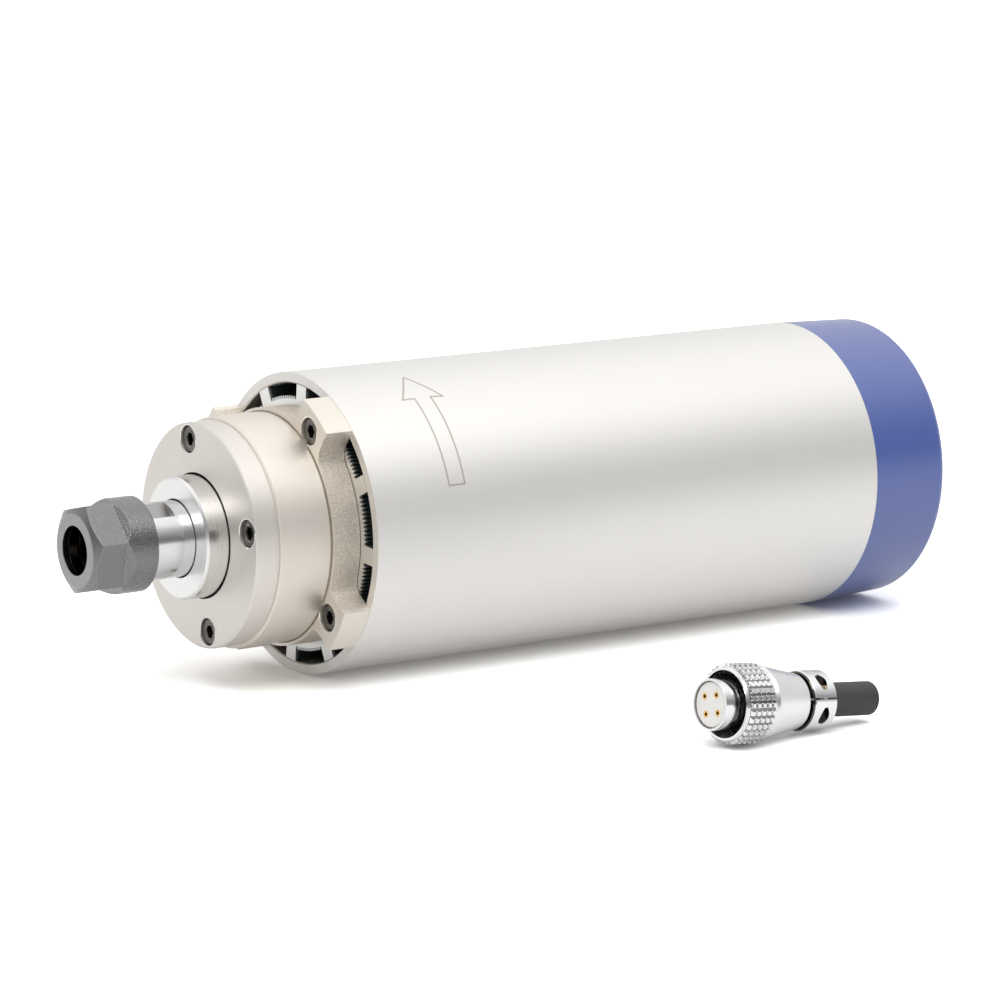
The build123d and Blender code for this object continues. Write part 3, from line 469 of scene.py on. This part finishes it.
def hexagon_radius(apothem, angle):
    """Distance from the middle of a hexagon to its side in that direction."""
    return apothem / cos((angle + pi / 6) % (pi / 3) - pi / 6)


def thread_dip(along, angle, pitch, depth):
    """How far a V thread lies below its crest there."""
    turn = (along / pitch - angle / (2 * pi)) % 1
    return depth * abs(turn * 2 - 1)


screw_sides = 72
thread_steps = 8
knurl_depth = 0.00006


def screw_shape(pitch, thread_depth):
    """How the screw's radius changes round it: socket corners, knurled head, helical thread."""
    def shape(along, radius, angle, kind):
        if kind == "hexagon":
            return hexagon_radius(radius, angle)
        if kind == "knurl":
            return radius - knurl_depth * (round(angle / (2 * pi) * screw_sides) % 2)
        if kind == "thread":
            return radius - thread_dip(along, angle, pitch, thread_depth)
        return radius
    return shape


def add_cap_screw(bm, size, length, place):
    """One screw along local X: the seat of its head is at 0, the head towards -X."""
    head = size * 0.875
    rim = size * 0.12
    groove = size * 0.012
    socket = size * 0.375
    socket_depth = size * 0.5
    pitch = size * 0.17
    thread_depth = size * 0.09
    thread_start = size * 0.4
    thread_rows = int((length - size * 0.6) / pitch * thread_steps)
    point_length = size * 0.12
    round_rim = [(-size + rim * (1 - sin(turn)), head - rim * (1 - cos(turn)), "round")
                 for turn in (0, pi / 8, pi / 4, pi * 3 / 8, pi / 2)]
    shank = [(thread_start + number * pitch / thread_steps, size / 2, "thread")
             for number in range(thread_rows)]
    outline = [
        (-size + socket_depth + socket * 0.5, socket * 0.1, "round"),
        (-size + socket_depth, socket * 0.97, "hexagon"),
        (-size + rim * 0.8, socket, "hexagon"),
        (-size, socket * 1.1, "hexagon"),
        (-size, head * 0.68, "round"),
        (-size + groove, head * 0.70, "round"),
        (-size + groove, head * 0.73, "round"),
        (-size, head * 0.75, "round"),
        *reversed(round_rim),
        (-size + rim * 2.2, head, "round"),
        (-size + rim * 2.4, head, "knurl"),
        (-rim, head, "knurl"),
        (0, head - rim, "round"),
        (0, size / 2, "round"),
        *shank,
        (length - point_length, size / 2 - size * 0.1, "round"),
        (length, size * 0.36, "round"),
    ]
    add_turned(bm, outline, even_angles(screw_sides), place, screw_shape(pitch, thread_depth))


def circle_places(circle, first, count, along, toward):
    """Frames round the X axis: local X runs along the screw, from its head to its tip."""
    places = []
    for number in range(count):
        angle = radians(first + number * 360 / count)
        spot = Matrix.Translation((along, circle * sin(angle), circle * cos(angle)))
        flip = Matrix() if toward > 0 else Matrix.Rotation(pi, 4, "Z")
        places.append(spot @ flip)
    return places


cover_screw_circle = 0.0251
cover_screw_angle = 10
lug_screw_circle = 0.03405
lug_screw_angle = -35
rear_screw_circle = 0.0335
fan_cover_screw_circle = 0.0333
thread_m3 = 0.003
thread_m4 = 0.004
screw_black = turned_finish("screw_black", (0.115, 0.108, 0.10), roughness=0.24, line_gap=0.0003,
                            depth=0.000006, spread=0.3, uneven=0.08, corner=0.00004)
shader_of(screw_black).inputs["Coat Weight"].default_value = 0.5
screw_sets = (
    ("cover_screws", thread_m4, cover_screw_circle, cover_screw_angle, 1),
    ("lug_screws", thread_m4, lug_screw_circle, lug_screw_angle, 1),
    ("rear_housing_screws", thread_m4, rear_screw_circle, lug_screw_angle, -1),
    ("fan_cover_screws", thread_m3, fan_cover_screw_circle, cover_screw_angle, -1),
)
for node, size, circle, first, toward in screw_sets:
    low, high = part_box(node)
    head_end, tip = (low.x, high.x) if toward > 0 else (high.x, low.x)
    seat = head_end + toward * size
    bm = bmesh.new()
    for place in circle_places(circle, first, 4, seat, toward):
        add_cap_screw(bm, size, abs(tip - seat), place)
    make_piece(bm, node + "_made", screw_black, "housing", [node])


# Counterbore rims: the drill's bright edge round each screw hole, where the plating is thin. Each
# set is one piece of small rings let into the face.
rim_width = 0.00034
rim_rise = 0.00007
rim_sides = 48
hole_radius = 0.00372
cover_face = -0.0298
bright_edge = turned_finish("bright_edge", (0.88, 0.86, 0.83), roughness=0.16, line_gap=0.0002,
                            depth=0.000001, corner=0)
rim_outline = [(rim_rise, hole_radius - rim_rise, ""), (-rim_rise * 0.4, hole_radius + rim_rise, ""),
               (-rim_rise, hole_radius + rim_width * 0.5, ""), (rim_rise, hole_radius + rim_width, "")]
for name, circle, first, face in (("cover_bore_rims", cover_screw_circle, cover_screw_angle, cover_face),
                                  ("lug_bore_rims", lug_screw_circle, lug_screw_angle, flange_face)):
    bm = bmesh.new()
    for place in circle_places(circle, first, 4, face, 1):
        add_turned(bm, rim_outline, even_angles(rim_sides), place, closed=True)
    make_piece(bm, name, bright_edge, "housing")


# Slinger ring: turned aluminium on the shaft, with the tool's fine rings left on its face and a
# dark line of painted shade where the shaft goes through it.
slinger_bore_painted_shade = (0.10, 0.10, 0.10)
slinger_bore_shade_radius = 0.01028
turned_slinger = turned_finish("turned_slinger", (0.80, 0.795, 0.785), roughness=0.26, line_gap=0.0004,
                               depth=0.000006, spread=0.02)
paint_over(turned_slinger, slinger_bore_painted_shade, ring_zone(turned_slinger, 0, slinger_bore_shade_radius))
dress("slinger_ring", turned_slinger)


# Spindle shaft: alloy steel, ground to a shine. Two wrench flats are milled across it, duller and
# darker, with a turned relief before them, the nut's thread on the nose and the taper in it. The
# relief and the taper's bore are painted near black: painted shade.
ground_shaft = turned_finish("ground_shaft", (0.70, 0.705, 0.72), roughness=0.17, line_gap=0.00025,
                             depth=0.0000008, spread=0.015)
milled_shaft = ground_shaft.copy()
milled_shaft.name = "milled_shaft"
add = node_adder(milled_shaft.node_tree)
place, parts, reach = around_axis(add)
shaft_outside = 0.02

flat_color = (0.35, 0.343, 0.335)
flat_start = -0.04765
flat_end = -0.04035
flat_reach = 0.00949
flat_angle = radians(-24.4)
across = compute(add, "ABSOLUTE", dot_product(add, place, (0, sin(flat_angle), cos(flat_angle))))
flat_band = ring_zone(milled_shaft, 0, shaft_outside, flat_start, flat_end)
on_flat = compute(add, "MULTIPLY", compute(add, "GREATER_THAN", across, flat_reach), flat_band)
paint_over(milled_shaft, flat_color, on_flat)

# The turned relief is painted near black: painted shade in the groove.
relief_painted_shade = (0.06, 0.055, 0.05)
relief_end = -0.0477
thread_end = -0.0487
paint_over(milled_shaft, relief_painted_shade, ring_zone(milled_shaft, 0, shaft_outside, thread_end, relief_end))

# The taper's bore is painted dark brown: painted shade inside the hole.
taper_painted_shade = (0.10, 0.085, 0.07)
taper_radius = 0.0092
taper_start = -0.0601
taper_end = -0.0300
paint_over(milled_shaft, taper_painted_shade, ring_zone(milled_shaft, 0, taper_radius, taper_start, taper_end))

thread_start = -0.0595
thread_pitch = 0.0015
thread_depth = 0.0009
thread_inside = 0.0095
thread_outside = 0.0105
threaded = ring_zone(milled_shaft, thread_inside, thread_outside, thread_start, thread_end)
pitches = compute(add, "DIVIDE", parts["X"], thread_pitch)
turned_by = compute(add, "ARCTAN2", parts["Y"], parts["Z"])
turns = compute(add, "MULTIPLY_ADD", turned_by, -1 / (2 * pi), pitches)
flank = compute(add, "MULTIPLY", compute(add, "PINGPONG", turns, 0.5), threaded)
inputs = (("Height", flank), ("Distance", thread_depth), ("Normal", fed_by(milled_shaft, "Normal")))
feed(milled_shaft, "Normal", add("ShaderNodeBump", inputs).outputs["Normal"])
dress("spindle_shaft", milled_shaft)


# Collet nut: hardened steel, blasted and blackened to an oily dark grey, with pale corners of wear
# and painted highlight, a front ring turned bare and a mouth painted dark brown as shade. Its collar
# is a little glossier than its hexagon. The extraction ring for the collet snaps in behind the mouth.
nut_color = (0.205, 0.203, 0.20)
nut_wear_and_highlight = (0.50, 0.50, 0.50)
nut_bare = (0.29, 0.288, 0.285)
nut_bare_depth = 0.00012
nut_corner = 0.00016
nut_collar_start = -0.0571
hexagon_dullness = 0.03
edge_mark_starts = 0.99
edge_mark_full = 0.92
nut_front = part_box("collet_nut")[0].x
blasted_nut, add = new_finish("blasted_nut", metallic=1.0)
place = add("ShaderNodeTexCoord").outputs["Object"]
along = add("ShaderNodeSeparateXYZ", (("Vector", place),)).outputs["X"]
speckle = noise(add, place, scale=2400.0, detail=3.0)
cloud = noise(add, place, scale=160.0, detail=4.0)
shade(blasted_nut, nut_color, spread=0.35, roughness=0.28, uneven=0.05, pattern=speckle, blotch=speckle,
      relief=speckle, depth=0.00014, corner=nut_corner)
shader_of(blasted_nut).inputs["Coat Weight"].default_value = 0.5
shader_of(blasted_nut).inputs["Coat Roughness"].default_value = 0.32
gloss = fed_by(blasted_nut, "Roughness")
on_hexagon = compute(add, "LESS_THAN", along, nut_collar_start)
feed(blasted_nut, "Roughness", compute(add, "MULTIPLY_ADD", on_hexagon, hexagon_dullness, gloss))
paint_over(blasted_nut, nut_bare, compute(add, "LESS_THAN", along, nut_front + nut_bare_depth))
# The corners are painted pale, partly rubbed wear and partly painted highlight.
soft_corner = add("ShaderNodeBevel", (("Radius", nut_corner),), samples=4).outputs[0]
true_face = add("ShaderNodeNewGeometry").outputs["Normal"]
wear_and_highlight_edges = carry_over(add, dot_product(add, soft_corner, true_face), 0, 1, edge_mark_starts, edge_mark_full)
paint_over(blasted_nut, nut_wear_and_highlight, compute(add, "MULTIPLY", wear_and_highlight_edges, cloud))
# The nut's mouth is painted dark brown: painted shade inside the bore.
mouth_painted_shade = (0.05, 0.042, 0.035)
mouth_edge = 0.0003
nut_mouth_radius = 0.0088
paint_over(blasted_nut, mouth_painted_shade, ring_zone(blasted_nut, 0, nut_mouth_radius, nut_front + mouth_edge))
dress("collet_nut", blasted_nut)
# The extraction ring is painted dark grey: painted shade inside the nut.
ring_painted_shade = turned_finish("ring_painted_shade", (0.26, 0.24, 0.22), roughness=0.20, line_gap=0.0003,
                           depth=0.000003, spread=0.2)
dress("extraction_ring", ring_painted_shade)


# Bearings: ground and polished rings and balls, moulded cages and ground spacers, all inside,
# pressed into the housings and on the shaft.
polished_race = turned_finish("polished_race", (0.75, 0.75, 0.76), roughness=0.09, line_gap=0.0002,
                              depth=0.0000005, spread=0.01)
for node in ("front_outer_rings", "outer_spacer", "rear_outer_ring", "front_inner_rings", "inner_spacer",
             "rear_inner_ring", "front_balls", "rear_balls"):
    dress(node, polished_race)


def moulded_finish(name, color, roughness, grain, depth, spread=0.05, corner=0.0002):
    """Moulded plastic or rubber: a fine spark-eroded grain and a faint drift of tone."""
    finish, add = new_finish(name, metallic=0.0)
    place = add("ShaderNodeTexCoord").outputs["Object"]
    pits = noise(add, place, scale=grain, detail=4.0)
    blotch = noise(add, place, scale=60.0, detail=3.0)
    shade(finish, color, spread, roughness, 0.05, pits, blotch, pits, depth, corner)
    return finish


cage_resin = moulded_finish("cage_resin", (0.32, 0.16, 0.06), roughness=0.5, grain=2500, depth=0.00001)
dress("front_cages", cage_resin)
dress("rear_cage", cage_resin)


# Motor: stacked laminations pressed in the sleeve and on the shaft, enamelled copper winding, cast
# aluminium cage, and a wavy spring that loads the rear bearing.
stacked_steel, add = new_finish("stacked_steel", metallic=1.0)
place = add("ShaderNodeTexCoord").outputs["Object"]
inputs = (("Vector", place), ("Scale", 320.0), ("Distortion", 0.4))
sheet_gap = add("ShaderNodeTexWave", inputs, bands_direction="X").outputs["Fac"]
shade(stacked_steel, (0.30, 0.30, 0.31), spread=0.15, roughness=0.45, uneven=0.1, pattern=sheet_gap,
      blotch=noise(add, place, scale=300.0, detail=4.0), relief=sheet_gap, depth=0.00004, corner=0)
dress("stator_core", stacked_steel)
dress("rotor_core", stacked_steel)
wound_copper = turned_finish("wound_copper", (0.62, 0.24, 0.09), roughness=0.28, line_gap=0.0009,
                             depth=0.00012, spread=0.2, corner=0)
dress("stator_winding", wound_copper)
cast_cage = turned_finish("cast_cage", (0.72, 0.72, 0.72), roughness=0.5, line_gap=0.002, depth=0.00002,
                          spread=0.08)
dress("rotor_cage", cast_cage)
spring_strip = turned_finish("spring_strip", (0.35, 0.36, 0.40), roughness=0.25, line_gap=0.0004,
                             depth=0.000002)
dress("preload_spring", spring_strip)


# Cooling fan: black moulded wheel on the shaft's tail, held by a ground spacer and a zinc plated
# nut. It is seen through the vents from behind.
fan_black = moulded_finish("fan_black", (0.018, 0.018, 0.02), roughness=0.42, grain=1500, depth=0.00002)
dress("cooling_fan", fan_black)
dress("fan_spacer", ground_shaft)
zinc_bright = turned_finish("zinc_bright", (0.78, 0.79, 0.80), roughness=0.24, line_gap=0.0004,
                            depth=0.000003, spread=0.04)
dress("fan_nut", zinc_bright)


# Fan cover: moulded cap in matt blue, with a faint grain and a softly rounded edge. Four long
# screws hold it at the tube's rear.
blue_cap = moulded_finish("blue_cap", (0.024, 0.067, 0.315), roughness=0.36, grain=1800, depth=0.000010,
                          spread=0.03, corner=0.0003)
shader_of(blue_cap).inputs["Specular IOR Level"].default_value = 1.0
shader_of(blue_cap).inputs["Coat Weight"].default_value = 0.9
shader_of(blue_cap).inputs["Coat Roughness"].default_value = 0.35
dress("fan_cover", blue_cap)


# Rear panel socket: plated shell and nut, clamped through the cap's wall, with a black insulator
# and gilt pins in it.
dress("rear_socket_shell", zinc_bright)
dress("rear_socket_nut", zinc_bright)
dress("rear_socket_insulator", fan_black)
gilt = turned_finish("gilt", (0.80, 0.50, 0.16), roughness=0.22, line_gap=0.0002, depth=0.000003,
                     spread=0.08, corner=0.00005)
dress("rear_socket_pins", gilt)


# Plug: chromed brass. The barrel, the back shell and the two-part clamp are nodes of the frame, and
# the coupling ring is made here with its knurled grip and the thread inside its mouth.
plug_joint = next(joint for joint in frame["joints"] if joint["name"] == "plug_ring_spin")
plug_along = Vector(plug_joint["axis"]).normalized()
plug_side = Vector((0, 0, 1)).cross(plug_along).normalized()
plug_up = plug_along.cross(plug_side)
plug_turn = Matrix((plug_along, plug_side, plug_up)).transposed().to_4x4()
plug_place = Matrix.Translation(plug_joint["pos_m"]) @ plug_turn
clamp_shadow = (0.10, 0.09, 0.08)
clamp_outside = 0.0074
chrome = turned_finish("chrome", (0.80, 0.805, 0.815), roughness=0.12, line_gap=0.0008, depth=0.000003,
                       spread=0.02, corner=0.0001, axis=plug_place)
cast_chrome = turned_finish("cast_chrome", (0.80, 0.80, 0.81), roughness=0.26, line_gap=0.0025,
                            depth=0.00003, spread=0.05, corner=0.0001, axis=plug_place)
shadowed_chrome = turned_finish("shadowed_chrome", (0.20, 0.20, 0.205), roughness=0.12, line_gap=0.0008,
                                depth=0.000004, spread=0.3, corner=0, axis=plug_place)
clamp_chrome = chrome.copy()
clamp_chrome.name = "clamp_chrome"
paint_over(clamp_chrome, clamp_shadow, ring_zone(clamp_chrome, 0, clamp_outside, axis=plug_place))
dress("plug_barrel", chrome)
dress("plug_back_shell", cast_chrome)
dress("plug_cable_clamp", clamp_chrome)

mouth_radius = 0.00838
mouth_pitch = 0.0015
mouth_thread = 0.0005
mouth_lead = 0.0006
ring_front_radius = 0.00915
grip_radius = 0.0100
knob_rise = 0.00062
root_radius = grip_radius - knob_rise
grip_start = 0.0006
grip_end = 0.0090
knob_rows = 5
knob_columns = 32
knob_share = 0.62
knob_slope = 0.12
knob_flank = 0.0002
ring_length = 0.0092
ring_edge = 0.0001
lip_start = 0.0064
barrel_clear = 0.0065
knob_angles = []
for column in range(knob_columns):
    start = 2 * pi * column / knob_columns
    for share in (0, 1 - knob_share - knob_slope, 1 - knob_share, 1 - knob_slope):
        knob_angles.append(start + share * 2 * pi / knob_columns)


def ring_shape(along, radius, angle, kind):
    """Grooves between the knobs' columns, and the helical thread of the mouth."""
    share = angle / (2 * pi) * knob_columns % 1
    slack = 0.01
    if kind == "knob" and 1 - knob_share - slack < share < 1 - knob_slope + slack:
        return radius + knob_rise
    if kind == "thread":
        return radius - thread_dip(along, angle, mouth_pitch, mouth_thread)
    return radius


row_pitch = (grip_end - grip_start) / knob_rows
outline = [(0, mouth_radius, ""), (0, ring_front_radius - knob_flank, ""),
           (knob_flank, ring_front_radius, ""), (grip_start - ring_edge, ring_front_radius, ""),
           (grip_start, root_radius, "")]
for row in range(knob_rows):
    start = grip_start + row * row_pitch + knob_flank
    knob_end = start + row_pitch * knob_share
    outline += [(start, root_radius, ""), (start + knob_flank, root_radius, "knob"),
                (knob_end, root_radius, "knob"), (knob_end + knob_flank, root_radius, "")]
outline += [(ring_length - ring_edge, root_radius, ""), (ring_length, root_radius - ring_edge, ""),
            (ring_length, barrel_clear, ""), (lip_start, barrel_clear, ""), (lip_start, mouth_radius, "")]
thread_count = int((lip_start - mouth_lead * 2) / mouth_pitch * thread_steps)
outline += [(mouth_lead + (thread_count - number) * mouth_pitch / thread_steps, mouth_radius, "thread")
            for number in range(thread_count)]
bm = bmesh.new()
add_turned(bm, outline, knob_angles, plug_place, ring_shape, closed=True)
to_plug = plug_place.inverted()
touch = 0.00002
grip_tail = ring_length - 0.0004
for face in bm.faces:
    reaches = [(to_plug @ corner.co).yz.length for corner in face.verts]
    in_grip = grip_start < (to_plug @ face.calc_center_median()).x < grip_tail
    in_mouth = max(reaches) < mouth_radius + touch
    between_knobs = in_grip and root_radius - touch < min(reaches) and max(reaches) < root_radius + touch
    if in_mouth or between_knobs:
        face.material_index = 1
coupling_ring = make_piece(bm, "coupling_ring_made", chrome, "plug_ring",
                           ["plug_coupling_ring"], sharp=25)
coupling_ring.data.materials.append(shadowed_chrome)


# Plug's inside and tail: ivory insert with gilt contacts, brass clamp screws, and the short black
# rubber sleeve that the clamp grips.
ivory_insert = moulded_finish("ivory_insert", (0.86, 0.84, 0.81), roughness=0.4, grain=1500, depth=0.00001,
                              spread=0.02)
dress("plug_insert", ivory_insert)
dress("plug_contacts", gilt)
clamp_screw_brass = turned_finish("clamp_screw_brass", (0.62, 0.50, 0.33), roughness=0.28, line_gap=0.0003,
                                  depth=0.000003, spread=0.06)
dress("plug_clamp_screws", clamp_screw_brass)
sleeve_rubber = moulded_finish("sleeve_rubber", (0.034, 0.034, 0.036), roughness=0.55, grain=2200,
                               depth=0.00005, spread=0.25)
dress("plug_rubber_sleeve", sleeve_rubber)
